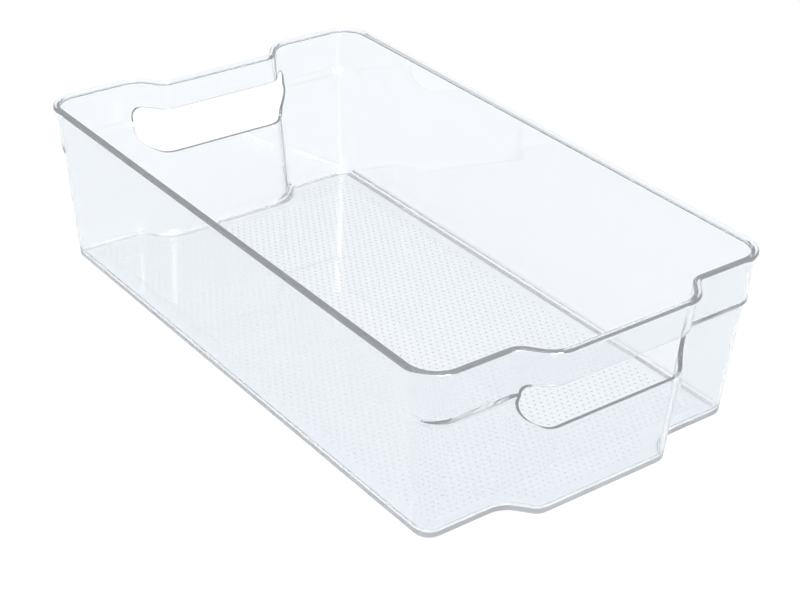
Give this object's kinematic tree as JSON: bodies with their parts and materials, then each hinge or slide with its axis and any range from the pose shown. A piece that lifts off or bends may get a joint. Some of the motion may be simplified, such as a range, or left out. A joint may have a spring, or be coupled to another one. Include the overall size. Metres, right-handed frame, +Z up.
{
  "type": "fridge organizer bin",
  "caption": "Clear open bin for a fridge shelf, moulded in one piece, with a stepped front, a matching set-back rear, a beaded rim and grip openings through its end walls.",
  "frame": {"origin": "on the underside, below the middle of the whole bin", "axes": "+Z up, +Y along the length from the front end, whose middle stands forward, to the rear end, whose middle is set back, +X to the right seen from the front"},
  "size_m": [0.21, 0.366, 0.094],
  "materials": {
    "clear_plastic": "clear, polished"
  },
  "bodies": {
    "root": {"bin": "clear_plastic"}
  },
  "joints": []
}
